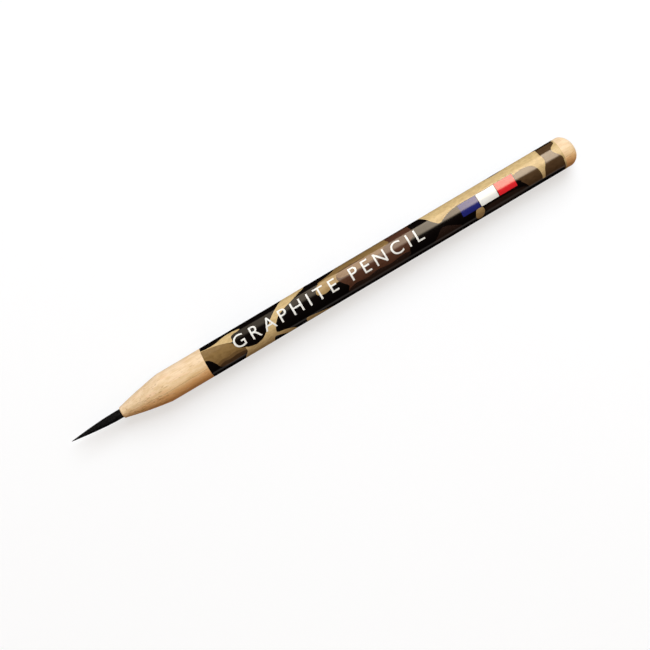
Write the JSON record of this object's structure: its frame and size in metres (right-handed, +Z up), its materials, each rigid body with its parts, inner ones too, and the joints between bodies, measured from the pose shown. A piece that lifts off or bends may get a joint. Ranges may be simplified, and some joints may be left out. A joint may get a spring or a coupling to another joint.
{
  "type": "graphite pencil",
  "caption": "Round wooden graphite pencil, sharpened to a long bare-wood cone with a needle point, with a glossy printed film sleeve round its barrel.",
  "frame": {"origin": "halfway along the pencil, on the surface that it lies on, under its axis", "axes": "+X along the pencil towards its graphite point, +Z up from the surface that it lies on, +Y to its left seen from the blunt end"},
  "size_m": [0.2344, 0.013, 0.0129],
  "materials": {
    "graphite": "matt black graphite with a fine metallic sparkle",
    "bare_wood": "bare pale softwood, knife-cut at the point, unvarnished",
    "glue": "dried wood glue",
    "printed_film": "glossy printed film in tan, olive, brown and black"
  },
  "bodies": {
    "root": {"graphite_lead": "graphite", "casing_half_left": "bare_wood", "casing_half_right": "bare_wood", "glue_line": "glue", "printed_film": "printed_film"}
  },
  "joints": []
}
